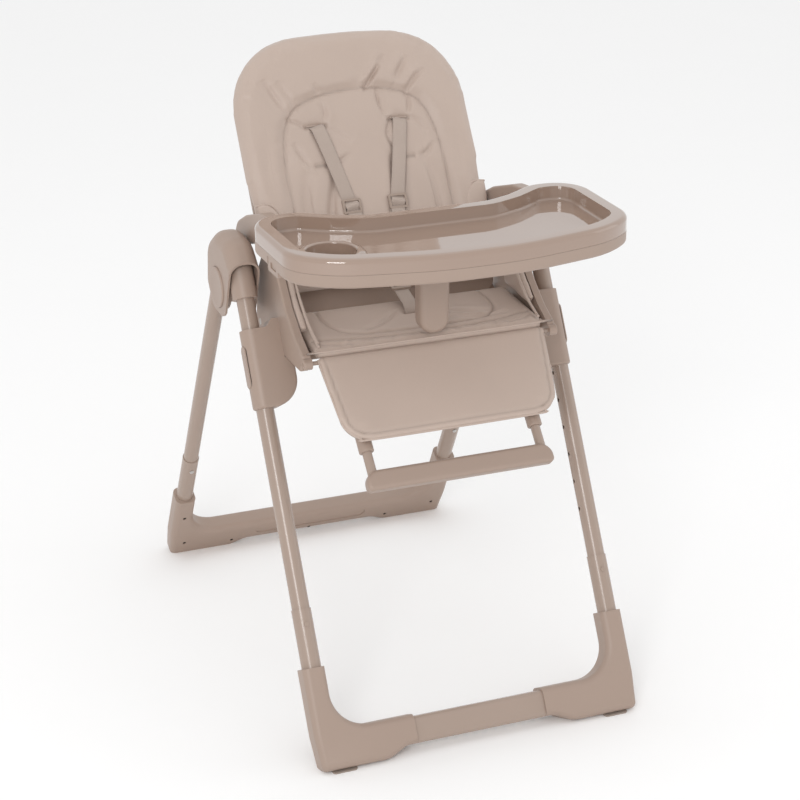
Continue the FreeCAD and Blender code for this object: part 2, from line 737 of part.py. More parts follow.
def footrest():
    tube_start = 110.0
    tubes = []
    for side in (-1, 1):
        start = calf_top + calf_down * tube_start - calf_out * foot_tube_depth
        start.x = side * foot_tube_x
        tubes.append(pipe(foot_tube_r, tube_wall, start, calf_down, foot_bar_along - tube_start))
    bar_half_tall = 17.0
    bar_front = -foot_tube_depth + 12.0
    bar_back = -foot_tube_depth - 12.0
    low = foot_bar_along - bar_half_tall
    high = foot_bar_along + bar_half_tall
    bar = calf_slab([(-165, low, 22), (165, low, 22), (165, high, 8), (-165, high, 8)],
                    bar_back, bar_front)
    bar = soften(bar, 7.0, any_of(lies_on(calf_top, calf_out, bar_front),
                                  lies_on(calf_top, calf_out, bar_back)))
    for side in (-1, 1):
        start = calf_top + calf_down * tube_start - calf_out * foot_tube_depth
        start.x = side * foot_tube_x
        bar = bar.cut(rod(foot_tube_r, start, calf_down, foot_bar_along - tube_start))
    add("footrest_tubes", Part.makeCompound(tubes))
    add("footrest_bar", parts_of(bar))


# ---- tray ---------------------------------------------------------------

tray_half_outline = [
    (70, -430, 500), (232, -396, 165), (292, -345, 66), (293, -134, 60),
    (207, -134, 56), (152, -170, 50), (104, -190, 80),
]


def tray_plate(inset, z_start, z_end):
    """A plate of the tray's plan shape, drawn in from its edge by the inset."""
    other_half = [(-x, y, radius) for x, y, radius in reversed(tray_half_outline)]
    wire = rounded_wire(tray_half_outline + other_half, V(0, 0, z_start), across, V(0, 1, 0))
    if inset > 0:
        wire = wire.makeOffset2D(-inset)
    return Part.Face(wire).extrude(V(0, 0, z_end - z_start))


def tray():
    base = tray_plate(0, tray_low, tray_seam)
    base = soften(base, 7.0, lies_on(V(0, 0, tray_low), V(0, 0, 1), 0))
    well = tray_plate(16, tray_low + 4, tray_seam + 1)
    base = base.cut(well)
    insert_low = tray_seam + 0.4
    insert = tray_plate(0, insert_low, tray_high)
    insert = soften(insert, 8.0, lies_on(V(0, 0, tray_high), V(0, 0, 1), 0))
    basin = tray_plate(tray_rim, tray_floor, tray_high + 5)
    basin = soften(basin, 5.0, lies_on(V(0, 0, tray_floor), V(0, 0, 1), 0))
    wall_inset = tray_rim - 4
    rim_hollow = tray_plate(6, insert_low - 1, tray_high - 6)
    rim_hollow = rim_hollow.cut(tray_plate(wall_inset, insert_low - 2, tray_high))
    insert = insert.cut(rim_hollow)
    insert = insert.fuse(tray_plate(wall_inset, tray_floor - tray_floor_thick, tray_floor + 4))
    insert = insert.cut(basin)
    cup_floor = 821.5
    cup_top = tray_floor + 6.0
    cup_wall = 3.0
    cup_spot = V(cup_x, cup_y, cup_floor - cup_wall)
    cup = rod(cup_r + cup_wall, cup_spot, V(0, 0, 1), cup_top - cup_spot.z)
    cup = soften(cup, 1.4, lies_on(V(0, 0, cup_top), V(0, 0, 1), 0))
    insert = insert.fuse(cup)
    insert = insert.cut(rod(cup_r, V(cup_x, cup_y, cup_floor), V(0, 0, 1), 60))
    # the mark on the front rim of the object is left out
    pocket_y = -292.0
    pocket_long = 46.0
    latch_low = 804.0
    latch_high = 827.0
    latch_in_x = 283.0
    latch_gap = 0.4
    pocket = Part.makeBox(20, pocket_long + 2 * latch_gap, latch_high - latch_low + 2 * latch_gap,
                          V(latch_in_x - 4, pocket_y - latch_gap, latch_low - latch_gap))
    for cut in (pocket, mirrored(pocket)):
        base = base.cut(cut)
        insert = insert.cut(cut)
    latch = side_slab(rectangle(pocket_y, latch_low, pocket_y + pocket_long, latch_high, 2.5),
                      latch_in_x, 291.6)
    grip = side_slab(rectangle(pocket_y + 8, latch_low + 7, pocket_y + pocket_long - 12,
                               latch_high - 6, 2), 289.8, 310)
    latch = latch.cut(grip)
    add_pair("tray_latch", latch)
    add("tray_base", parts_of(base))
    add("tray_insert", parts_of(insert))
    post = slab(
        [(-27.5, tray_low, 0), (27.5, tray_low, 0), (25.5, 651, 24), (-25.5, 651, 24)],
        V(0, post_y, 0), across, V(0, 0, 1), -18, 18)
    post = soften(post, 11.0, lambda edge: not lies_on(V(0, 0, tray_low), V(0, 0, 1), 0)(edge)
                  and any(lies_on(V(0, post_y, 0), V(0, 1, 0), side)(edge) for side in (-18, 18)))
    add("crotch_post", post)


# ---- build and write ----------------------------------------------------

def build():
    leg_tubes()
    feet()
    foot_pads()
    front_hinge()
    hood()
    fold_buttons()
    height_slider()
    seat_shell()
    seat_pins()
    backrest()
    harness()
    calf_rest()
    footrest()
    tray()


def write_parts():
    os.makedirs("parts", exist_ok=True)
    for name, shape in nodes.items():
        if not shape.isValid():
            print("not valid:", name)
        shape.exportStep("parts/" + name + ".step")
    print(len(nodes), "parts written")


build()
write_parts()
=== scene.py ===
import json
import math
import bpy
import bmesh
import numpy as np
from mathutils import Matrix, Vector, kdtree


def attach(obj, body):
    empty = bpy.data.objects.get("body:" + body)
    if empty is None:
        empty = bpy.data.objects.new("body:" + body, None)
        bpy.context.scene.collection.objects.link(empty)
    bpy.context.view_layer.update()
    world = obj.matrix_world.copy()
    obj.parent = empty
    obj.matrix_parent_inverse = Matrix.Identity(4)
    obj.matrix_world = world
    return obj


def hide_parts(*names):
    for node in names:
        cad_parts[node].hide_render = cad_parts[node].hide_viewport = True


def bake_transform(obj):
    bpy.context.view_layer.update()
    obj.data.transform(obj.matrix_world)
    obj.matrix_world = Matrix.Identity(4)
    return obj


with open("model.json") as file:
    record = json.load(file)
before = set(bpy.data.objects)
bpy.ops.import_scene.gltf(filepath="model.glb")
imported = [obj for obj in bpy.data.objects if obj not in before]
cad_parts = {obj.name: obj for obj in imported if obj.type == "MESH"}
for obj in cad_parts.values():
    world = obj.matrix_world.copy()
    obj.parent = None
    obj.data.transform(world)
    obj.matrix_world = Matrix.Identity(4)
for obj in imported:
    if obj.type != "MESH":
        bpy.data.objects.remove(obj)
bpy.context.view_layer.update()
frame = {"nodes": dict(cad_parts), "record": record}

scene = bpy.context.scene
nodes = frame["nodes"]
print("frame loaded,", len(nodes), "nodes")

# ---- camera, light and floor ----

# lens in millimetres, turn in degrees
studio = {
    "lens": 98.54,
    "place": (-1.3052, -3.3445, 1.9102),
    "turn": (67.82, 0.0, -21.744),
    "floorTint": (0.978, 0.978, 0.978),
    "worldTint": (1.0, 1.0, 1.0),
    "worldPower": 0.90,
}

camData = bpy.data.cameras.new("chairCamera")
camData.lens = studio["lens"]
camData.sensor_width = 36
camera = bpy.data.objects.new("chairCamera", camData)
camera.location = studio["place"]
camera.rotation_euler = [math.radians(a) for a in studio["turn"]]
scene.collection.objects.link(camera)
scene.camera = camera
scene.view_settings.view_transform = "Standard"

world = bpy.data.worlds.new("paleRoom")
world.use_nodes = True
worldShader = world.node_tree.nodes["Background"]
worldShader.inputs["Color"].default_value = (*studio["worldTint"], 1)
worldShader.inputs["Strength"].default_value = studio["worldPower"]
scene.world = world

lamps = [   # name, place, aimed at, size, watts
    ("keyLamp", (-2.4, -3.6, 2.6), (0, 0, 0.6), 1.4, 56),
    ("fillLamp", (3.4, -1.2, 1.8), (0, 0, 0.6), 2.2, 9),
    ("topLamp", (0.4, 0.6, 3.6), (0, 0, 0), 2.4, 5),
]
for name, place, aim, size, watts in lamps:
    data = bpy.data.lights.new(name, "AREA")
    data.size = size
    data.energy = watts
    lamp = bpy.data.objects.new(name, data)
    lamp.location = place
    lamp.rotation_euler = (Vector(aim) - Vector(place)).to_track_quat("-Z", "Y").to_euler()
    scene.collection.objects.link(lamp)


# ---- shader helpers ----

class Num:
    # a socket with the sums written as Python
    def __init__(self, paint, socket):
        self.paint = paint
        self.socket = socket

    def sum(self, operation, first, second):
        return self.paint.add("ShaderNodeMath", {"operation": operation}, {0: first, 1: second})

    def __add__(self, other): return self.sum("ADD", self, other)
    def __radd__(self, other): return self.sum("ADD", other, self)
    def __sub__(self, other): return self.sum("SUBTRACT", self, other)
    def __rsub__(self, other): return self.sum("SUBTRACT", other, self)
    def __mul__(self, other): return self.sum("MULTIPLY", self, other)
    def __rmul__(self, other): return self.sum("MULTIPLY", other, self)
    def __gt__(self, other): return self.sum("GREATER_THAN", self, other)
    def __abs__(self): return self.sum("ABSOLUTE", self, 0.0)


class Paint:
    # one material; add() makes any node
    def __init__(self, name, **uniform):
        self.material = bpy.data.materials.new(name)
        self.material.use_nodes = True
        self.tree = self.material.node_tree
        self.shader = self.tree.nodes["Principled BSDF"]
        for key, value in uniform.items():
            self.shader.inputs[key.replace("_", " ")].default_value = value

    def add(self, kind, settings=None, inputs=None, output=0):
        node = self.tree.nodes.new(kind)
        for key, value in (settings or {}).items():
            setattr(node, key, value)
        for key, value in (inputs or {}).items():
            if isinstance(value, Num):
                self.tree.links.new(value.socket, node.inputs[key])
            else:
                node.inputs[key].default_value = value
        return Num(self, node.outputs[output])

    def coords(self):
        return self.add("ShaderNodeTexCoord", output="Object")

    def noise(self, where, scale, detail=2.0, rough=0.5):
        return self.add("ShaderNodeTexNoise", {}, {
            "Vector": where, "Scale": scale, "Detail": detail, "Roughness": rough}, "Fac")

    def cells(self, where, scale):
        return self.add("ShaderNodeTexVoronoi", {}, {"Vector": where, "Scale": scale}, "Distance")

    def wave(self, value, pitch):
        return self.add("ShaderNodeMath", {"operation": "SINE"}, {0: value * (math.tau / pitch)})

    def mix(self, share, first, second):
        # blends two colours, each a tuple or a socket
        keys = {"Factor": share, 6: first, 7: second}
        return self.add("ShaderNodeMix", {"data_type": "RGBA"}, keys, 2)

    def bump(self, height, strength, distance):
        return self.add("ShaderNodeBump", {}, {
            "Height": height, "Strength": strength, "Distance": distance})

    def feed(self, **sockets):
        for key, value in sockets.items():
            self.tree.links.new(value.socket, self.shader.inputs[key.replace("_", " ")])
        return self.material


def shade(tint, factor):
    return (tint[0] * factor, tint[1] * factor, tint[2] * factor, 1.0)


# ---- finishes ----

finishes = {
    "plastic": {"tint": (0.362, 0.272, 0.222), "rough": 0.40},
    "tray": {"tint": (0.325, 0.232, 0.181), "rough": 0.030},
    "tube": {"tint": (0.352, 0.268, 0.219), "rough": 0.24},
    "pad": {"tint": (0.490, 0.390, 0.332), "rough": 0.42, "pebble": 900},
    "webbing": {"tint": (0.500, 0.408, 0.352), "rough": 0.82, "rib": 0.0011, "yarn": 0.0016,
                "selvedge": 0.0105},
    "hardware": {"tint": (0.350, 0.270, 0.222), "rough": 0.30},
    "rubber": {"tint": (0.290, 0.235, 0.200), "rough": 0.78},
    "steel": {"tint": (0.560, 0.540, 0.515), "rough": 0.30},
    "screw": {"tint": (0.045, 0.040, 0.036), "rough": 0.40},
    "thread": {"tint": (0.520, 0.420, 0.355), "rough": 0.70},
}


def plasticFinish(name, key):
    # satin moulding: spark-eroded grain, slow tone drift and slightly polished high spots
    look = finishes[key]
    paint = Paint(name, IOR=1.46)
    where = paint.coords()
    drift = paint.noise(where, 5.0, 3.0)
    grain = paint.noise(where, 2600.0, 2.0, 0.6)
    speck = paint.noise(where, 420.0, 2.0)
    base = paint.mix(drift, shade(look["tint"], 0.955), shade(look["tint"], 1.045))
    tint = paint.mix(speck * 0.35, base, shade(look["tint"], 0.93))
    rough = look["rough"] + (drift - 0.5) * 0.10 + (grain - 0.5) * 0.10
    height = grain * 0.7 + paint.noise(where, 60.0, 2.0) * 0.5
    return paint.feed(Base_Color=tint, Roughness=rough, Normal=paint.bump(height, 0.10, 0.0004))


def trayFinish():
    # injection-moulded gloss, with faint flow marks and fine wiping scratches
    look = finishes["tray"]
    paint = Paint("glossTray", IOR=1.55, Coat_Roughness=0.02)
    where = paint.coords()
    flow = paint.noise(where, 7.0, 3.0)
    stretched = paint.add("ShaderNodeMapping", {}, {"Vector": where, "Scale": (26.0, 900.0, 26.0)})
    scratch = paint.noise(stretched, 1.0, 2.0, 0.7)
    fine = paint.noise(where, 340.0, 3.0)
    tint = paint.mix(flow, shade(look["tint"], 0.975), shade(look["tint"], 1.03))
    rough = look["rough"] + (flow - 0.5) * 0.015 + (scratch > 0.63) * 0.02
    height = flow * 0.8 + fine * 0.02
    return paint.feed(Base_Color=tint, Roughness=rough, Coat_Weight=0.75 + flow * 0.1,
                      Normal=paint.bump(height, 0.03, 0.002))


def tubeFinish():
    # powder coat: very fine orange peel along the tube
    look = finishes["tube"]
    paint = Paint("coatedTube", IOR=1.48, Coat_Roughness=0.16)
    where = paint.coords()
    peel = paint.noise(where, 700.0, 2.0)
    drift = paint.noise(where, 9.0, 2.0)
    tint = paint.mix(drift, shade(look["tint"], 0.965), shade(look["tint"], 1.035))
    return paint.feed(Base_Color=tint, Roughness=look["rough"] + (peel - 0.5) * 0.12,
                      Coat_Weight=0.18 + drift * 0.1, Normal=paint.bump(peel, 0.12, 0.0004))


def padFinish():
    # leatherette: pebbled grain, finer creases between the pebbles, and painted shade along seams,
    # strap slots and stitch rows
    look = finishes["pad"]
    paint = Paint("softLeatherette", IOR=1.44, Sheen_Weight=0.12, Sheen_Roughness=0.5)
    where = paint.coords()
    warp = paint.add("ShaderNodeVectorMath", {"operation": "SCALE"}, {
        0: paint.add("ShaderNodeTexNoise", {}, {"Vector": where, "Scale": 120.0}, "Color"),
        "Scale": 0.002})
    bent = paint.add("ShaderNodeVectorMath", {"operation": "ADD"}, {0: where, 1: warp})
    pebble = paint.cells(bent, look["pebble"])
    fine = paint.noise(where, 2400.0, 2.0)
    drift = paint.noise(where, 8.0, 3.0)
    rub = paint.noise(where, 38.0, 3.0)
    base = paint.mix(drift, shade(look["tint"], 0.95), shade(look["tint"], 1.05))
    tint = paint.mix(pebble * 0.30, base, shade(look["tint"], 0.86))
    # painted shade: the seamShade mask darkens the colour along seams, slots and stitch rows
    paintedSeamShade = paint.add("ShaderNodeAttribute", {"attribute_name": "seamShade"}, {}, "Fac")
    tint = paint.mix(paintedSeamShade * 0.55, tint, shade(look["tint"], 0.55))
    rough = look["rough"] + (pebble - 0.4) * 0.16 + (rub - 0.5) * 0.14
    height = (1 - pebble) * 0.8 + fine * 0.25 + rub * 0.4
    return paint.feed(Base_Color=tint, Roughness=rough, Normal=paint.bump(height, 0.16, 0.0006))


def webbingFinish():
    # plain weave: ribs across the band, yarns along it, and a flat selvedge
    look = finishes["webbing"]
    paint = Paint("wovenBand", IOR=1.4, Sheen_Weight=0.25, Sheen_Roughness=0.4)
    bandMap = paint.add("ShaderNodeUVMap", {"uv_map": "bandMap"})
    across = paint.add("ShaderNodeSeparateXYZ", {}, {0: bandMap}, "X")
    along = paint.add("ShaderNodeSeparateXYZ", {}, {0: bandMap}, "Y")
    rib = paint.wave(along, look["rib"])
    yarn = paint.wave(across, look["yarn"])
    weave = rib * yarn * 0.5 + 0.5
    fuzz = paint.noise(paint.coords(), 900.0, 3.0)
    edge = abs(across) > look["selvedge"]
    drift = paint.noise(paint.coords(), 30.0, 2.0)
    base = paint.mix(drift, shade(look["tint"], 0.93), shade(look["tint"], 1.07))
    tint = paint.mix(weave * 0.5 + fuzz * 0.2, shade(look["tint"], 0.78), base)
    tint = paint.mix(edge * 0.25, tint, shade(look["tint"], 0.70))
    height = weave * 0.8 + fuzz * 0.3
    return paint.feed(Base_Color=tint, Roughness=look["rough"] + (fuzz - 0.5) * 0.1,
                      Normal=paint.bump(height, 0.35, 0.0005))


def rubberFinish():
    # matt, with a little dust in patches
    look = finishes["rubber"]
    paint = Paint("footRubber", IOR=1.5)
    where = paint.coords()
    dust = paint.noise(where, 60.0, 4.0)
    tint = paint.mix(dust, shade(look["tint"], 0.9), shade(look["tint"], 1.15))
    return paint.feed(Base_Color=tint, Roughness=look["rough"] + (dust - 0.5) * 0.15,
                      Normal=paint.bump(paint.noise(where, 1500.0), 0.2, 0.0004))


def metalFinish(name, key):
    # bare metal, brushed along its own X axis
    look = finishes[key]
    paint = Paint(name, Metallic=1.0)
    where = paint.coords()
    brushed = paint.noise(paint.add("ShaderNodeMapping", {}, {
        "Vector": where, "Scale": (60.0, 1800.0, 1800.0)}), 1.0, 2.0)
    tint = paint.mix(brushed, shade(look["tint"], 0.85), shade(look["tint"], 1.1))
    return paint.feed(Base_Color=tint, Roughness=look["rough"] + (brushed - 0.5) * 0.2,
                      Normal=paint.bump(brushed, 0.1, 0.0002))


paints = {
    "plastic": plasticFinish("satinMoulding", "plastic"),
    "tray": trayFinish(),
    "tube": tubeFinish(),
    "pad": padFinish(),
    "webbing": webbingFinish(),
    "hardware": plasticFinish("buckleMoulding", "hardware"),
    "rubber": rubberFinish(),
    "steel": metalFinish("plainSteel", "steel"),
    "screw": metalFinish("blackenedSteel", "screw"),
    "thread": plasticFinish("sewingThread", "thread"),
}
print("finishes made")

# every CAD node gets its finish and smooth shading over its curved faces
slotOf = {entry["node"]: entry["material_slot"] for entry in frame["record"]["subparts"]}
coatedSteel = ("calf_hinge_rod", "front_snap_buttons")   # painted like the legs
shading = {"weld": 0.00002, "splitAngle": 32}
for name, node in nodes.items():
    node.data.materials.clear()
    node.data.materials.append(paints["tube" if name in coatedSteel else slotOf[name]])
    node.data.shade_smooth()
    weld = node.modifiers.new("weld", "WELD")
    weld.merge_threshold = shading["weld"]
    split = node.modifiers.new("creases", "EDGE_SPLIT")
    split.split_angle = math.radians(shading["splitAngle"])
print("CAD nodes painted")


# ---- mesh helpers ----

def newPiece(name, mesh, paintKey, body):
    # a finished piece: at the origin, named, painted and riding on its body
    mesh.name = name
    piece = bpy.data.objects.new(name, mesh)
    scene.collection.objects.link(piece)
    mesh.materials.clear()
    mesh.materials.append(paints[paintKey])
    mesh.shade_smooth()
    if body:
        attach(piece, body)
    return piece


def bakeMesh(carrier, modifierSet):
    # applies (type, settings) modifiers in turn and returns the plain mesh
    for kind, settings in modifierSet:
        modifier = carrier.modifiers.new(kind.lower(), kind)
        for key, value in settings.items():
            setattr(modifier, key, value)
    bpy.context.view_layer.update()
    graph = bpy.context.evaluated_depsgraph_get()
    return bpy.data.meshes.new_from_object(carrier.evaluated_get(graph))


def dropObject(carrier):
    bpy.data.objects.remove(carrier)


def planeMatrix(origin, right, up):
    right, up = Vector(right).normalized(), Vector(up).normalized()
    matrix = Matrix((right, up, right.cross(up))).transposed().to_4x4()
    matrix.translation = Vector(origin)
    return matrix


def roundedLoop(corners, step=0.004):
    # closed outline through (a, b, radius) corners, sampled about every step
    points = []
    count = len(corners)
    for index in range(count):
        here = Vector(corners[index][:2])
        radius = corners[index][2]
        toBefore = (Vector(corners[index - 1][:2]) - here).normalized()
        toAfter = (Vector(corners[(index + 1) % count][:2]) - here).normalized()
        if radius <= 0:
            points.append(here)
            continue
        half = toBefore.angle(toAfter) / 2
        reach = radius / math.tan(half)
        centre = here + (toBefore + toAfter).normalized() * (radius / math.sin(half))
        start = here + toBefore * reach - centre
        sweep = math.pi - 2 * half
        side = 1 if toBefore.x * toAfter.y - toBefore.y * toAfter.x < 0 else -1
        pieces = max(2, int(radius * sweep / step))
        for k in range(pieces + 1):
            turn = side * sweep * k / pieces
            points.append(centre + Vector((
                start.x * math.cos(turn) - start.y * math.sin(turn),
                start.x * math.sin(turn) + start.y * math.cos(turn))))
    return points


def lineDistance(flat, line):
    # distance of each (a, b) row from the polyline, and how far along it, 0 to 1
    best = np.full(len(flat), 1e9)
    along = np.zeros(len(flat))
    line = np.array(line, float)
    steps = np.linalg.norm(np.diff(line, axis=0), axis=1)
    total = steps.sum()
    done = 0.0
    for start, end, length in zip(line[:-1], line[1:], steps):
        way = (end - start) / length
        t = np.clip((flat - start) @ way, 0, length)
        gap = np.linalg.norm(flat - start - t[:, None] * way, axis=1)
        closer = gap < best
        best[closer] = gap[closer]
        along[closer] = (done + t[closer]) / total
        done += length
    return best, along


def coordinates(mesh):
    co = np.zeros(len(mesh.vertices) * 3)
    mesh.vertices.foreach_get("co", co)
    return co.reshape(-1, 3)


def setCoordinates(mesh, co):
    mesh.vertices.foreach_set("co", co.ravel())
    mesh.update()


def smoothLine(points, step=0.004):
    # a smooth run through points (Catmull-Rom), in 2-D or 3-D
    points = [np.array(p, float) for p in points]
    padded = [2 * points[0] - points[1]] + points + [2 * points[-1] - points[-2]]
    out = []
    for p0, p1, p2, p3 in zip(padded, padded[1:], padded[2:], padded[3:]):
        count = max(2, int(np.linalg.norm(p2 - p1) / step))
        for k in range(count):
            t = k / count
            out.append(0.5 * (2 * p1 + (p2 - p0) * t + (2 * p0 - 5 * p1 + 4 * p2 - p3) * t * t
                              + (3 * p1 - p0 - 3 * p2 + p3) * t ** 3))
    out.append(points[-1])
    return out


# ---- padded pieces ----

cover = {"quality": 4, "mass": 0.25, "tension_stiffness": 12, "compression_stiffness": 8,
         "shear_stiffness": 4, "bending_stiffness": 0.4, "use_pressure": True}
coverFrames = 20
# shares of the pad's thickness, and widths in metres
padShape = {"backHeld": 0.6, "frontHeld": 0.4, "seamHeld": 0.8, "sideStart": 0.55, "sideRun": 0.45,
            "stitchDeep": 1.3, "stitchWide": 0.0016, "shadeDeep": 0.6, "shadeWide": 0.0018,
            "refineWide": 2.4}
# a fold starts at part of its depth and fades to nothing at its end
foldShape = {"startAt": 0.08, "fade": 0.7, "ridgeAway": 1.9, "ridgeWide": 1.5}


def puff(carrier, cfg, pinned):
    # short cloth simulation with air pressure and no gravity; the moves are capped
    before = coordinates(carrier.data)
    group = carrier.vertex_groups.new(name="held")
    group.add([int(i) for i in np.nonzero(pinned)[0]], 1.0, "REPLACE")
    cloth = carrier.modifiers.new("cloth", "CLOTH")
    for key, value in cover.items():
        setattr(cloth.settings, key, value)
    cloth.settings.uniform_pressure_force = cfg["pressure"]
    cloth.settings.effector_weights.gravity = 0
    cloth.settings.vertex_group_mass = "held"
    cloth.collision_settings.use_collision = False
    cloth.point_cache.frame_start = 1
    cloth.point_cache.frame_end = coverFrames
    for frameNumber in range(1, coverFrames + 1):
        scene.frame_set(frameNumber)
    graph = bpy.context.evaluated_depsgraph_get()
    after = coordinates(carrier.evaluated_get(graph).data)
    carrier.modifiers.remove(cloth)
    scene.frame_set(1)
    move = after - before
    length = np.linalg.norm(move, axis=1)
    move *= np.minimum(1.0, cfg["cap"] / np.maximum(length, 1e-9))[:, None]
    setCoordinates(carrier.data, before + move)


def dip(gap, width):
    # a rounded groove, 1 in its middle
    return np.exp(-(gap / width) ** 2)


def makePad(name, cfg, sculpt, body):
    # remeshed slab -> rounded -> puffed between its seams -> subdivided -> creased by sculpt
    loop = roundedLoop(cfg["outline"])
    shell = bmesh.new()
    base = [shell.verts.new((p[0], p[1], -cfg["thick"] + cfg["inset"])) for p in loop]
    top = [shell.verts.new((p[0], p[1], -cfg["inset"])) for p in loop]
    shell.faces.new(base)
    shell.faces.new(top)
    for i in range(len(loop)):
        j = (i + 1) % len(loop)
        shell.faces.new((base[i], base[j], top[j], top[i]))
    bmesh.ops.recalc_face_normals(shell, faces=shell.faces)
    bmesh.ops.triangulate(shell, faces=shell.faces)
    mesh = bpy.data.meshes.new(name + "Start")
    shell.to_mesh(mesh)
    shell.free()
    carrier = bpy.data.objects.new(name + "Start", mesh)
    scene.collection.objects.link(carrier)
    mesh = bakeMesh(carrier, [
        ("REMESH", {"mode": "VOXEL", "voxel_size": cfg["voxel"]}),
        ("SMOOTH", {"factor": 0.5, "iterations": cfg["roundness"]}),
    ])
    dropObject(carrier)
    carrier = bpy.data.objects.new(name + "Soft", mesh)
    scene.collection.objects.link(carrier)
    co = coordinates(mesh)
    pinned = co[:, 2] < -cfg["thick"] * padShape["backHeld"]
    onFront = co[:, 2] > -cfg["thick"] * padShape["frontHeld"]
    for line in cfg["seams"]:
        gap, along = lineDistance(co[:, :2], smoothLine(line))
        pinned |= (gap < cfg["voxel"] * padShape["seamHeld"]) & onFront
    puff(carrier, cfg, pinned)
    mesh = bakeMesh(carrier, [("SUBSURF", {"levels": 1, "render_levels": 1})])
    dropObject(carrier)
    folds = cfg.get("folds", [])
    refineFolds(mesh, folds, -cfg["thick"] * padShape["frontHeld"])
    co = coordinates(mesh)
    sideStart, sideRun = cfg["thick"] * padShape["sideStart"], cfg["thick"] * padShape["sideRun"]
    front = np.clip((co[:, 2] + sideStart) / sideRun, 0, 1)
    height, dark = sculpt(co[:, 0], co[:, 1])
    height += creases(co[:, :2], folds) * cfg.get("foldDeep", 1.0)
    for line in cfg["seams"]:
        gap, along = lineDistance(co[:, :2], smoothLine(line))
        height -= cfg["seamDeep"] * dip(gap, cfg["seamWide"])
        height -= cfg["seamDeep"] * padShape["stitchDeep"] * dip(gap, padShape["stitchWide"])
        # painted shade along each seam groove, passed to the colour through seamShade
        dark += padShape["shadeDeep"] * dip(gap, padShape["shadeWide"])
    co[:, 2] += height * front
    setCoordinates(mesh, co)
    shadeMark = mesh.attributes.new("seamShade", "FLOAT", "POINT")
    shadeMark.data.foreach_set("value", np.clip(dark * front, 0, 1).astype(np.float32))
    mesh.transform(cfg["plane"])
    piece = newPiece(name, mesh, "pad", body)
    print(name, len(mesh.polygons), "faces")
    return piece


def refineFolds(mesh, rows, low):
    # halves the edges on the front beside each fold
    work = bmesh.new()
    work.from_mesh(mesh)
    co = coordinates(mesh)
    near = np.zeros(len(co), bool)
    for points, width, depth, ridge in rows:
        gap, along = lineDistance(co[:, :2], smoothLine(points))
        near |= gap < padShape["refineWide"] * width
    near &= co[:, 2] > low
    edges = [e for e in work.edges if near[e.verts[0].index] and near[e.verts[1].index]]
    if edges:
        bmesh.ops.subdivide_edges(work, edges=edges, cuts=1, use_grid_fill=True)
    work.to_mesh(mesh)
    work.free()


def creases(flat, rows):
    # each row: (points, width, depth, share of a raised fold beside it)
    total = np.zeros(len(flat))
    for points, width, depth, ridge in rows:
        line = smoothLine(points)
        gap, along = lineDistance(flat, line)
        along = along * (1 - foldShape["startAt"]) + foldShape["startAt"]
        fade = np.sin(np.pi * np.clip(along, 0, 1)) ** foldShape["fade"]
        start, end = np.array(line[0]), np.array(line[-1])
        way = (end - start) / np.linalg.norm(end - start)
        side = np.sign((flat - start) @ np.array([-way[1], way[0]]))
        signed = gap * side
        total -= depth * fade * dip(gap, width)
        away = signed - foldShape["ridgeAway"] * width
        total += depth * ridge * fade * dip(away, foldShape["ridgeWide"] * width)
    return total


backPlane = planeMatrix((0, -0.038, 0.650), (1, 0, 0), (0, 0.5158, 0.8567))

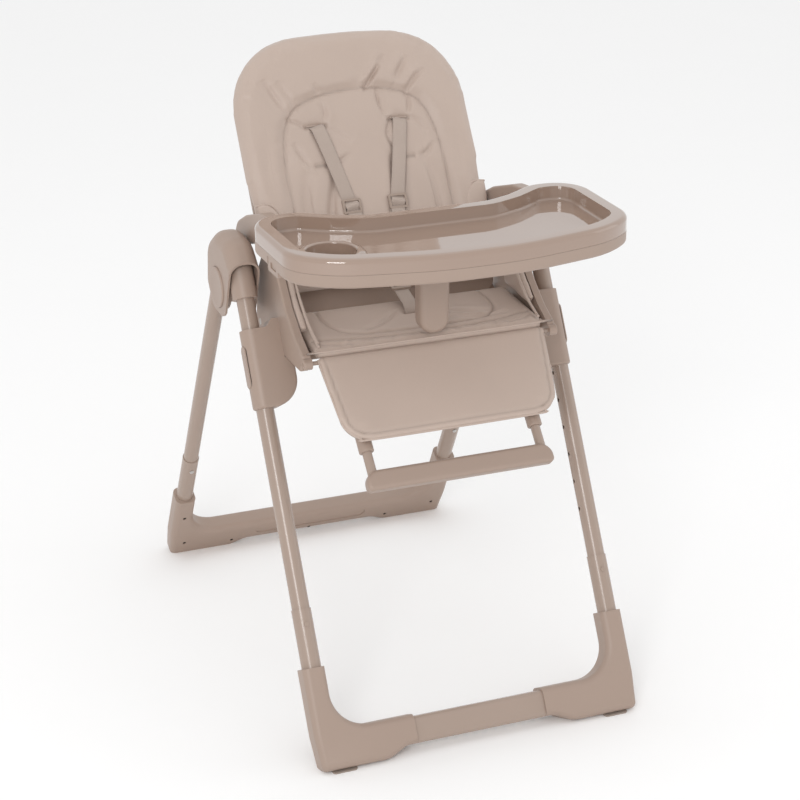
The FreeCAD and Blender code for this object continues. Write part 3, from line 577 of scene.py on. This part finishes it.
backrest = {
    "plane": backPlane, "thick": 0.032, "inset": 0.0025, "voxel": 0.0052, "roundness": 9,
    "outline": [(-0.2085, 0.035, 0.014), (0.2085, 0.035, 0.014), (0.2085, 0.195, 0.06),
                (0.2135, 0.235, 0.06), (0.2135, 0.4765, 0.134), (0.0, 0.4895, 0.600),
                (-0.2135, 0.4765, 0.134), (-0.2135, 0.235, 0.06), (-0.2085, 0.195, 0.06)],
    "seams": [[(-0.146, 0.050), (-0.146, 0.120), (-0.144, 0.180), (-0.144, 0.245), (-0.137, 0.305),
               (-0.118, 0.343), (-0.095, 0.360), (-0.055, 0.372), (0.0, 0.378), (0.055, 0.375),
               (0.100, 0.361), (0.126, 0.340), (0.141, 0.300), (0.147, 0.245), (0.148, 0.180),
               (0.149, 0.120), (0.149, 0.050)]],
    "seamDeep": 0.0019, "seamWide": 0.008, "pressure": 3.6, "cap": 0.0055, "fill": 0.6,
    "foldDeep": 1.7, "folds": [
        ([(0.026, 0.378), (0.038, 0.392), (0.060, 0.417)], 0.0042, 0.0048, 0.7),
        ([(0.058, 0.416), (0.072, 0.432)], 0.006, 0.0020, 0.5),
        ([(0.084, 0.388), (0.096, 0.405), (0.112, 0.427)], 0.0058, 0.0030, 0.7),
        ([(0.100, 0.364), (0.112, 0.379), (0.128, 0.396)], 0.0048, 0.0034, 0.6),
        ([(0.122, 0.386), (0.140, 0.402)], 0.0050, 0.0018, 0.5),
        ([(-0.124, 0.343), (-0.138, 0.370), (-0.158, 0.408)], 0.0064, 0.0038, -0.5),
        ([(-0.108, 0.354), (-0.118, 0.376), (-0.134, 0.402)], 0.0060, 0.0026, -0.5),
        ([(-0.062, 0.374), (-0.070, 0.392)], 0.0060, 0.0016, 0.4),
        ([(0.048, 0.374), (0.046, 0.352), (0.052, 0.324)], 0.0040, 0.0040, -0.5),
        ([(0.104, 0.356), (0.100, 0.336), (0.094, 0.322)], 0.0044, 0.0028, 0.4),
        ([(-0.060, 0.360), (-0.056, 0.340), (-0.062, 0.322)], 0.0052, 0.0022, 0.4),
        ([(-0.096, 0.316), (-0.112, 0.328), (-0.130, 0.336)], 0.0044, 0.0026, 0.4),
        ([(-0.100, 0.248), (-0.112, 0.266), (-0.124, 0.292)], 0.0056, 0.0026, 0.5),
        ([(-0.066, 0.246), (-0.046, 0.250), (-0.024, 0.262)], 0.0052, 0.0020, 0.5),
        ([(-0.056, 0.314), (-0.036, 0.300), (-0.018, 0.282)], 0.0060, 0.0020, -0.4),
        ([(0.058, 0.312), (0.050, 0.290), (0.056, 0.262)], 0.0046, 0.0030, 0.3),
        ([(0.104, 0.246), (0.120, 0.252), (0.134, 0.270)], 0.0050, 0.0022, 0.5),
        ([(0.098, 0.316), (0.112, 0.306), (0.124, 0.286)], 0.0055, 0.0020, 0.4),
        ([(0.052, 0.244), (0.048, 0.180), (0.040, 0.100)], 0.0075, 0.0056, -0.5),
        ([(-0.062, 0.220), (-0.078, 0.160), (-0.082, 0.090)], 0.0085, 0.0050, 0.5),
        ([(-0.110, 0.230), (-0.122, 0.170), (-0.112, 0.080)], 0.0090, 0.0034, 0.5),
        ([(0.110, 0.240), (0.124, 0.180), (0.118, 0.090)], 0.0090, 0.0034, -0.5),
        ([(-0.126, 0.160), (-0.134, 0.120), (-0.136, 0.090)], 0.0055, 0.0022, 0.4),
        ([(0.128, 0.150), (0.136, 0.110), (0.138, 0.080)], 0.0055, 0.0022, -0.4),
        ([(0.168, 0.320), (0.176, 0.260), (0.172, 0.200)], 0.0120, 0.0016, 0.3),
        ([(-0.170, 0.300), (-0.178, 0.240), (-0.172, 0.180)], 0.0120, 0.0016, -0.3),
    ],
}
slotX, slotUp, slitUp = 0.077, 0.317, 0.246
# the two pairs of strap openings: half length and depth of the pull, half size of its stitches
openings = (
    {"up": slotUp, "reach": 0.017, "deep": 0.0050, "rowReach": 0.0165, "rowTall": 0.0052},
    {"up": slitUp, "reach": 0.013, "deep": 0.0030, "rowReach": 0.0125, "rowTall": 0.0042},
)
slotPull = {"wide": 0.0050, "sagWide": 0.0180, "sagShare": 0.5, "shade": 1.2, "shadeWide": 0.0022}
strapGroove = {"low": (0.026, 0.10), "high": (slotX, 0.316), "deep": 0.0022, "wide": 0.013}


def crossedWaves(a, b, tall, rateA, rateB, startA, startB):
    # gentle unevenness of the filling
    return tall * np.sin(a * rateA + startA) * np.sin(b * rateB + startB)


def slantedWaves(a, b, tall, rateA, rateB):
    return tall * np.sin(a * rateA + b * rateB)


def backrestSculpt(a, b):
    flat = np.stack((a, b), axis=1)
    height = crossedWaves(a, b, 0.0009, 41, 37, 0.7, 1.9) + slantedWaves(a, b, 0.0005, 97, 53)
    dark = np.zeros(len(flat))
    for side in (-1, 1):
        # slots for the straps pull the cover in
        for slot in openings:
            ends = [(side * slotX + end * slot["reach"], slot["up"]) for end in (-1, 1)]
            gap, along = lineDistance(flat, ends)
            sag = slotPull["sagShare"] * dip(gap, slotPull["sagWide"])
            height -= slot["deep"] * (dip(gap, slotPull["wide"]) + sag)
            # painted shade around each strap slot
            dark += slotPull["shade"] * dip(gap, slotPull["shadeWide"])
        # the straps press a shallow flat-bottomed groove
        ends = [(side * x, up) for x, up in (strapGroove["low"], strapGroove["high"])]
        gap, along = lineDistance(flat, ends)
        height -= strapGroove["deep"] * np.exp(-(gap / strapGroove["wide"]) ** 4)
    return height, dark


backCushion = makePad("backrestPad", backrest, backrestSculpt, "backrest")
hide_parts("backrest_cushion")

calfTop = Vector((0, -0.214, 0.643))
calfPlane = planeMatrix(calfTop, (1, 0, 0), (0, 0.6769, 0.7361))
calf = {
    "plane": calfPlane, "thick": 0.020, "inset": 0.0015, "voxel": 0.0050, "roundness": 2,
    "outline": [(-0.1865, -0.1605, 0.048), (0.1865, -0.1605, 0.048), (0.2010, -0.009, 0.003),
                (-0.2010, -0.009, 0.003)],
    "seams": [], "seamDeep": 0.0, "seamWide": 0.004, "pressure": 0.6, "cap": 0.0010, "fill": 0.75,
    "row": [(-0.1930, -0.006), (-0.1795, -0.128), (-0.172, -0.141), (-0.158, -0.1495),
            (-0.140, -0.1520), (0.140, -0.1520), (0.158, -0.1495), (0.172, -0.141),
            (0.1795, -0.128), (0.1930, -0.006)],
    "rowDeep": 0.0012, "rowWide": 0.0020, "rowShade": 0.85, "rowShadeWide": 0.0016,
    "edge": [(-0.2005, -0.012), (-0.1895, -0.118), (-0.180, -0.141), (-0.163, -0.1555),
             (-0.140, -0.1598), (0.140, -0.1598), (0.163, -0.1555), (0.180, -0.141),
             (0.1895, -0.118), (0.2005, -0.012)],
    "edgeLift": -0.0085, "bead": 0.0020,
}


def calfSculpt(a, b):
    # a bound edge: a stitched line runs inside the outline on three sides
    gap, along = lineDistance(np.stack((a, b), axis=1), calf["row"])
    height = crossedWaves(a, b, 0.0006, 23, 31, 0.4, 0)
    height -= calf["rowDeep"] * dip(gap, calf["rowWide"])
    # the second value is painted shade along the stitched groove
    return height, calf["rowShade"] * dip(gap, calf["rowShadeWide"])


calfCover = makePad("calfPadCover", calf, calfSculpt, "calf_rest")
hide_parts("calf_pad")

seatPlane = planeMatrix((0, -0.216, 0.6465), (1, 0, 0), (0, 0.9985, 0.0577))
seat = {
    "plane": seatPlane, "thick": 0.020, "inset": 0.0010, "voxel": 0.0045, "roundness": 6,
    "outline": [(-0.2025, 0.0, 0.010), (0.2025, 0.0, 0.010), (0.2025, 0.160, 0.010),
                (-0.2025, 0.160, 0.010)],
    "seams": [[(-0.196, 0.040), (-0.160, 0.034), (-0.120, 0.026), (-0.070, 0.021), (0.0, 0.019),
               (0.070, 0.021), (0.120, 0.027), (0.160, 0.036), (0.196, 0.046)],
              [(-0.150, 0.155), (-0.152, 0.110), (-0.140, 0.066), (-0.110, 0.045), (-0.060, 0.038),
               (0.0, 0.036), (0.060, 0.038), (0.110, 0.046), (0.140, 0.068), (0.152, 0.110),
               (0.150, 0.155)]],
    "seamDeep": 0.0022, "seamWide": 0.005, "pressure": 5.0, "cap": 0.006, "fill": 0.55,
    "foldDeep": 1.5, "folds": [
        ([(-0.030, 0.100), (-0.060, 0.070), (-0.100, 0.052)], 0.006, 0.0022, 0.4),
        ([(0.040, 0.080), (0.090, 0.070), (0.140, 0.062)], 0.006, 0.0024, 0.4),
        ([(0.060, 0.060), (0.100, 0.048), (0.165, 0.050)], 0.005, 0.0020, 0.5),
        ([(-0.186, 0.020), (-0.160, 0.012), (-0.120, 0.009)], 0.004, 0.0018, 0.5),
        ([(0.130, 0.012), (0.165, 0.016), (0.190, 0.026)], 0.004, 0.0018, -0.5),
    ],
    "gatherDeep": 0.0012, "gatherAt": 0.012, "gatherWide": 0.013,
    "slot": [(-0.014, 0.0885), (0.014, 0.0885)], "slotDeep": 0.0040, "slotWide": 0.0045,
    "slotShadeWide": 0.003,
    "edge": [(-0.2015, 0.010), (-0.1985, 0.0025), (-0.190, 0.0005), (0.190, 0.0005),
             (0.1985, 0.0025), (0.2015, 0.010)],
    "edgeLift": -0.0060, "bead": 0.0020,
}


def seatSculpt(a, b):
    # gathers between the front seam and the edge, two uneven rows of waves together
    gather = np.sin(a * 210 + 1.4 * np.sin(a * 37)) * 0.6 + np.sin(a * 340 + 0.8) * 0.4
    height = seat["gatherDeep"] * gather * dip(b - seat["gatherAt"], seat["gatherWide"])
    # the crotch strap comes up through a short slot
    gap, along = lineDistance(np.stack((a, b), axis=1), seat["slot"])
    height -= seat["slotDeep"] * dip(gap, seat["slotWide"])
    # the second value is painted shade in the slot
    return height, dip(gap, seat["slotShadeWide"])


seatCover = makePad("seatPadCover", seat, seatSculpt, "seat_carriage")
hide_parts("seat_cushion")
print("cushions done")


# ---- side wings, ears and piping ----

def makeTube(points, radius):
    # round bead along 3-D points, as a closed mesh
    data = bpy.data.curves.new("bead", "CURVE")
    data.dimensions = "3D"
    data.bevel_depth = radius
    data.bevel_resolution = 3
    data.use_fill_caps = True
    spline = data.splines.new("POLY")
    spline.points.add(len(points) - 1)
    for point, spot in zip(spline.points, points):
        point.co = (*spot, 1.0)
    carrier = bpy.data.objects.new("bead", data)
    scene.collection.objects.link(carrier)
    mesh = bakeMesh(carrier, [])
    dropObject(carrier)
    return mesh


def joinMeshes(meshes):
    joined = bmesh.new()
    for mesh in meshes:
        joined.from_mesh(mesh)
    whole = bpy.data.meshes.new("joined")
    joined.to_mesh(whole)
    joined.free()
    return whole


def onPlane(plane, points, lift):
    return [plane @ Vector((p[0], p[1], lift)) for p in points]


def edgeBead(name, cfg, body):
    line = onPlane(cfg["plane"], smoothLine(cfg["edge"], 0.005), cfg["edgeLift"])
    newPiece(name, makeTube(line, cfg["bead"]), "pad", body)


sides = ((1, "Right"), (-1, "Left"))
wing = {
    "thick": 0.0150, "inset": 0.0008, "voxel": 0.0045, "roundness": 6,
    "seams": [], "seamDeep": 0.0, "seamWide": 0.004, "pressure": 5.0, "cap": 0.004, "fill": 0.6,
    "front": [(-0.072, 0.796), (-0.0805, 0.750), (-0.112, 0.706),
              (-0.160, 0.668), (-0.196, 0.652), (-0.2085, 0.6480)],   # y, z of the front rim
    "rim": [(-0.196, 0.652, 0.008), (-0.160, 0.668, 0.040), (-0.112, 0.706, 0.040),
            (-0.080, 0.750, 0.030), (-0.072, 0.796, 0.010), (-0.044, 0.796, 0.008),
            (-0.050, 0.740, 0.040), (-0.060, 0.660, 0.006)],
    "face": 0.1963, "bead": 0.0022, "beadFace": 0.1965,
    # how far the second bead lies from the first, inwards, back and up
    "beadGap": 0.0075, "inShare": 0.15, "backShare": 0.9, "upShare": 0.55,
}


def wingSculpt(a, b):
    return slantedWaves(a, b, 0.0008, 60, 45), np.zeros(len(a))


for side, sideName in sides:
    # plane seen from inside the seat: first axis is -Y on the right side and +Y on the left
    cfg = dict(wing)
    cfg["plane"] = planeMatrix((side * wing["face"], 0, 0), (0, -side, 0), (0, 0, 1))
    cfg["outline"] = [(-side * y, z, r) for y, z, r in wing["rim"]]
    wingPad = makePad("sideWingCover" + sideName, cfg, wingSculpt, "seat_carriage")
    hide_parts("side_wing_pad_" + sideName.lower())
    beads = []
    for shift in (0.0, wing["beadGap"]):
        x = side * (wing["beadFace"] - shift * wing["inShare"])
        line = smoothLine([(y + shift * wing["backShare"], z + shift * wing["upShare"])
                           for y, z in wing["front"]], 0.005)
        beads.append(makeTube([(x, y, z) for y, z in line], wing["bead"]))
    newPiece("sideWingPiping" + sideName, joinMeshes(beads), "pad", "seat_carriage")

ears = {
    "corner": [(0.211, 0.188, 0.003), (0.190, 0.190, 0.016), (0.171, 0.166, 0.020),
               (0.166, 0.090, 0.006), (0.208, 0.088, 0.004)],
    "edge": [(0.2115, 0.187), (0.192, 0.1885), (0.177, 0.178), (0.170, 0.155), (0.167, 0.120),
             (0.166, 0.092)],
    "lift": 0.0075, "edgeLift": 0.0015, "bead": 0.0021,
}
for side, sideName in sides:
    loop = [(side * a, b, r) for a, b, r in ears["corner"]]
    cfg = {
        "plane": backPlane @ Matrix.Translation((0, 0, ears["lift"])),
        "outline": loop if side > 0 else loop[::-1],
        "thick": 0.011, "inset": 0.001, "voxel": 0.0035, "roundness": 5,
        "seams": [], "seamDeep": 0, "seamWide": 0.004, "pressure": 4.0, "cap": 0.003,
    }
    makePad("backrestEar" + sideName, cfg, wingSculpt, "backrest")
    line = onPlane(backPlane, smoothLine([(side * a, b) for a, b in ears["edge"]]),
                   ears["edgeLift"])
    newPiece("backrestEarPiping" + sideName, makeTube(line, ears["bead"]), "pad", "backrest")

edgeBead("calfPadBinding", calf, "calf_rest")
edgeBead("seatFrontPiping", seat, "seat_carriage")
print("wings, ears and piping done")

# the cup holder's broad lip, turned about the cup's axis; rows are (radius, height)
cupLip = {
    "centre": (-0.205, -0.298), "steps": 96,
    "profile": [(0.0402, 0.8385), (0.0404, 0.8405), (0.0415, 0.8417), (0.0440, 0.8420),
                (0.0490, 0.8412), (0.0530, 0.8396), (0.0550, 0.8375), (0.0560, 0.8345),
                (0.0420, 0.8343)],
}


def turned(cfg):
    work = bmesh.new()
    rings = []
    for step in range(cfg["steps"]):
        turn = math.tau * step / cfg["steps"]
        rings.append([work.verts.new((cfg["centre"][0] + radius * math.cos(turn),
                                      cfg["centre"][1] + radius * math.sin(turn), height))
                      for radius, height in cfg["profile"]])
    rows = len(cfg["profile"])
    for ring, nextRing in zip(rings, rings[1:] + rings[:1]):
        for row in range(rows):
            after = (row + 1) % rows
            work.faces.new((ring[row], ring[after], nextRing[after], nextRing[row]))
    bmesh.ops.recalc_face_normals(work, faces=work.faces)
    mesh = bpy.data.meshes.new("turned")
    work.to_mesh(mesh)
    work.free()
    return mesh


newPiece("cupHolderLip", turned(cupLip), "tray", "tray_top")
print("cup holder lip done")


# ---- webbing ----

band = {
    "width": 0.025, "thick": 0.0016,
    # the rounded section, in widths across and thicknesses up
    "section": [(-0.5, -0.28), (-0.46, -0.5), (-0.16, -0.5), (0.16, -0.5), (0.46, -0.5),
                (0.5, -0.28), (0.5, 0.28), (0.46, 0.5), (0.16, 0.5), (-0.16, 0.5),
                (-0.46, 0.5), (-0.5, 0.28)],
}


def makeBand(points, facings):
    # flat webbing along points; each facing is the direction its face looks
    width, thick, section = band["width"], band["thick"], band["section"]
    points = [Vector(p) for p in points]
    work = bmesh.new()
    layer = work.loops.layers.uv.new("bandMap")
    rings = []
    along = 0.0
    lengths = []
    for i, spot in enumerate(points):
        ahead = points[min(i + 1, len(points) - 1)] - points[max(i - 1, 0)]
        facing = Vector(facings[i])
        facing = (facing - facing.project(ahead)).normalized()
        across = ahead.cross(facing).normalized()
        if i:
            along += (spot - points[i - 1]).length
        lengths.append(along)
        rings.append([work.verts.new(spot + across * (u * width) + facing * (v * thick))
                      for u, v in section])
    count = len(section)
    for i in range(len(rings) - 1):
        for k in range(count):
            m = (k + 1) % count
            face = work.faces.new((rings[i][k], rings[i][m], rings[i + 1][m], rings[i + 1][k]))
            for loop, (u, v) in zip(face.loops, (
                    (section[k][0], lengths[i]), (section[m][0], lengths[i]),
                    (section[m][0], lengths[i + 1]), (section[k][0], lengths[i + 1]))):
                loop[layer].uv = (u * width, v)
    for ring, v in ((rings[0], 0.0), (rings[-1], along)):
        face = work.faces.new(ring)
        for loop in face.loops:
            loop[layer].uv = (0.0, v)
    bmesh.ops.recalc_face_normals(work, faces=work.faces)
    mesh = bpy.data.meshes.new("band")
    work.to_mesh(mesh)
    work.free()
    return mesh


def bandOnBack(run):
    # run: (x, up, lift) on the backrest's plane
    spots = [backPlane @ Vector(p) for p in smoothLine(run)]
    out = backPlane.to_3x3() @ Vector((0, 0, 1))
    return makeBand(spots, [out] * len(spots))


strap = {"adjusterUp": 0.168, "lowX": 0.026, "lowUp": 0.098, "topX": slotX, "topUp": 0.3165}


def strapX(up):
    share = (up - strap["lowUp"]) / (strap["topUp"] - strap["lowUp"])
    return strap["lowX"] + (strap["topX"] - strap["lowX"]) * share


shoulderMeshes = []
for side in (-1, 1):
    mid = strap["adjusterUp"]
    run = [(side * strapX(0.3185), 0.3185, -0.012), (side * strapX(0.3165), 0.3165, -0.004)]
    run += [(side * strapX(up), up, lift) for up, lift in (
        (0.312, 0.0022), (0.300, 0.0046), (0.270, 0.0060), (0.235, 0.0058), (0.200, 0.0044),
        (mid + 0.016, 0.0030), (mid + 0.0105, 0.0024), (mid + 0.006, 0.0052), (mid + 0.002, 0.0086),
        (mid - 0.002, 0.0086), (mid - 0.006, 0.0052), (mid - 0.0105, 0.0024), (mid - 0.016, 0.0030),
        (0.130, 0.0042), (0.110, 0.0044), (0.096, 0.0030))]
    shoulderMeshes.append(bandOnBack(run))
    # the free tail lies behind the strap below the ladder lock
    tail = [(side * (strapX(up) + shift), up, lift) for up, lift, shift in (
        (mid - 0.008, 0.0046, 0.0), (mid - 0.014, 0.0062, 0.001), (mid - 0.030, 0.0068, 0.002),
        (mid - 0.046, 0.0064, 0.003))]
    shoulderMeshes.append(bandOnBack(tail))
shoulders = newPiece("shoulderWebbing", joinMeshes(shoulderMeshes), "webbing", "backrest")
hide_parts("shoulder_straps")

lapMeshes = []
for side in (-1, 1):
    lapMeshes.append(bandOnBack([(side * x, up, lift) for x, up, lift in (
        (0.028, 0.0745, 0.0034), (0.060, 0.078, 0.0046), (0.100, 0.084, 0.0060),
        (0.140, 0.090, 0.0066), (0.170, 0.094, 0.0056), (0.185, 0.0965, 0.0030))]))
laps = newPiece("lapWebbing", joinMeshes(lapMeshes), "webbing", "backrest")
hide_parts("lap_straps")

crotchRun = smoothLine([(0, -0.1275, 0.622), (0, -0.1275, 0.645), (0, -0.1262, 0.658),
                        (0, -0.117, 0.6665), (0, -0.095, 0.6735), (0, -0.060, 0.6845),
                        (0, -0.034, 0.6935), (0, -0.0225, 0.6975)])
crotchFacing = []
for index in range(len(crotchRun)):
    before = Vector(crotchRun[max(index - 1, 0)])
    after = Vector(crotchRun[min(index + 1, len(crotchRun) - 1)])
    crotchFacing.append((after - before).cross(Vector((-1, 0, 0))))
crotch = newPiece("crotchWebbing", makeBand(crotchRun, crotchFacing), "webbing", None)
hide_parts("crotch_strap")
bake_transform(crotch)
print("harness done")


# ---- slot welts and stitching ----

stitching = {"pitch": 0.0030, "length": 0.0019, "radius": 0.00030}
padFront = -0.012   # everything above this height is the front of a pad


def stitchTree():
    # thread laid along a curve: resample, set a small bar on each point, realise, paint
    tree = bpy.data.node_groups.new("stitchRow", "GeometryNodeTree")
    face = tree.interface
    face.new_socket("Geometry", in_out="INPUT", socket_type="NodeSocketGeometry")
    sockets = {}
    for key in ("pitch", "length", "radius"):
        item = face.new_socket(key, in_out="INPUT", socket_type="NodeSocketFloat")
        item.default_value = stitching[key]
        sockets[key] = item.identifier
    face.new_socket("Geometry", in_out="OUTPUT", socket_type="NodeSocketGeometry")
    make = tree.nodes.new
    into, out = make("NodeGroupInput"), make("NodeGroupOutput")
    resample = make("GeometryNodeResampleCurve")
    resample.mode = "LENGTH"
    bar = make("GeometryNodeMeshCylinder")
    bar.inputs["Vertices"].default_value = 6
    turn = make("FunctionNodeAlignRotationToVector")
    turn.axis = "Z"
    tangent = make("GeometryNodeInputTangent")
    place = make("GeometryNodeInstanceOnPoints")
    real = make("GeometryNodeRealizeInstances")
    paint = make("GeometryNodeSetMaterial")
    paint.inputs["Material"].default_value = paints["thread"]
    link = tree.links.new
    link(into.outputs["Geometry"], resample.inputs["Curve"])
    link(into.outputs["pitch"], resample.inputs["Length"])
    link(into.outputs["radius"], bar.inputs["Radius"])
    link(into.outputs["length"], bar.inputs["Depth"])
    link(resample.outputs["Curve"], place.inputs["Points"])
    link(bar.outputs["Mesh"], place.inputs["Instance"])
    link(tangent.outputs["Tangent"], turn.inputs["Vector"])
    link(turn.outputs["Rotation"], place.inputs["Rotation"])
    link(place.outputs["Instances"], real.inputs["Geometry"])
    link(real.outputs["Geometry"], paint.inputs["Geometry"])
    link(paint.outputs["Geometry"], out.inputs["Geometry"])
    return tree, sockets


stitchGroup, stitchSockets = stitchTree()


def makeStitches(name, runs, body):
    # one piece of thread rows for one body; runs are lists of 3-D points
    data = bpy.data.curves.new(name, "CURVE")
    data.dimensions = "3D"
    for points in runs:
        spline = data.splines.new("POLY")
        spline.points.add(len(points) - 1)
        for point, spot in zip(spline.points, points):
            point.co = (*spot, 1.0)
    carrier = bpy.data.objects.new(name + "Path", data)
    scene.collection.objects.link(carrier)
    modifier = carrier.modifiers.new("stitches", "NODES")
    modifier.node_group = stitchGroup
    for key, identifier in stitchSockets.items():
        modifier[identifier] = stitching[key]
    bpy.context.view_layer.update()
    graph = bpy.context.evaluated_depsgraph_get()
    mesh = bpy.data.meshes.new_from_object(carrier.evaluated_get(graph))
    dropObject(carrier)
    return newPiece(name, mesh, "thread", body)


def surfaceHeight(piece, plane):
    # looks up how high a finished pad stands at (a, b) on its plane
    inverse = plane.inverted()
    local = [inverse @ v.co for v in piece.data.vertices]
    local = [p for p in local if p.z > padFront]
    tree = kdtree.KDTree(len(local))
    for index, p in enumerate(local):
        tree.insert((p.x, p.y, 0), index)
    tree.balance()
    return lambda a, b: local[tree.find((a, b, 0))[1]].z


backHeight = surfaceHeight(backCushion, backPlane)
calfHeight = surfaceHeight(calfCover, calfPlane)


def laid(plane, height, points, lift):
    return [plane @ Vector((p[0], p[1], height(p[0], p[1]) + lift)) for p in points]


slotRow = {"margin": 0.003, "round": 0.002, "step": 0.003, "lift": 0.0002}
welt = {"reach": 0.0165, "endUp": 0.0018, "midUp": 0.0022, "lift": 0.0006, "radius": 0.0011}
# the arch's thread lies just inside its seam, lower where the seam runs across the top
archRow = {"narrower": 0.972, "lower": 0.0040, "topFrom": 0.3}

backRows, welts = [], []
for side in (-1, 1):
    centre = side * slotX
    for slot in openings:
        left, right = (centre + end * (slot["rowReach"] + slotRow["margin"]) for end in (-1, 1))
        low, high = slot["up"] - slot["rowTall"], slot["up"] + slot["rowTall"]
        ring = roundedLoop([(a, b, slotRow["round"]) for a, b in (
            (left, low), (right, low), (right, high), (left, high))], slotRow["step"])
        backRows.append(laid(backPlane, backHeight, [*ring, ring[0]], slotRow["lift"]))
    lip = smoothLine([(centre - welt["reach"], slotUp + welt["endUp"]),
                      (centre, slotUp + welt["midUp"]),
                      (centre + welt["reach"], slotUp + welt["endUp"])], 0.003)
    welts.append(makeTube(laid(backPlane, backHeight, lip, welt["lift"]), welt["radius"]))
arch = [(a * archRow["narrower"], b - archRow["lower"] * (b > archRow["topFrom"]))
        for a, b in smoothLine(backrest["seams"][0])]
backRows.append(laid(backPlane, backHeight, arch, 0.0))
makeStitches("backrestStitches", backRows, "backrest")
newPiece("slotWelts", joinMeshes(welts), "pad", "backrest")

calfRow = [(-0.1893, -0.020), (-0.1770, -0.127), (-0.1700, -0.139), (-0.157, -0.1470),
           (-0.140, -0.1493), (0.140, -0.1493), (0.157, -0.1470), (0.1700, -0.139),
           (0.1770, -0.127), (0.1893, -0.020)]
calfThread = laid(calfPlane, calfHeight, smoothLine(calfRow), 0.0)
makeStitches("calfStitches", [calfThread], "calf_rest")
print("stitching done")


# ---- floor ----

floorMesh = bpy.data.meshes.new("paleFloor")
floorHalf = 14.0
floorMesh.from_pydata([(-floorHalf, -floorHalf, 0), (floorHalf, -floorHalf, 0),
                       (floorHalf, floorHalf, 0), (-floorHalf, floorHalf, 0)], [], [(0, 1, 2, 3)])
floor = bpy.data.objects.new("paleFloor", floorMesh)
scene.collection.objects.link(floor)
floorPaint = Paint("palePaper", Roughness=0.9, Specular_IOR_Level=0.15)
paper = floorPaint.noise(floorPaint.coords(), 3.0)
floorPaint.feed(Base_Color=floorPaint.mix(paper, shade(studio["floorTint"], 0.995),
                                          shade(studio["floorTint"], 1.005)))
floorMesh.materials.append(floorPaint.material)
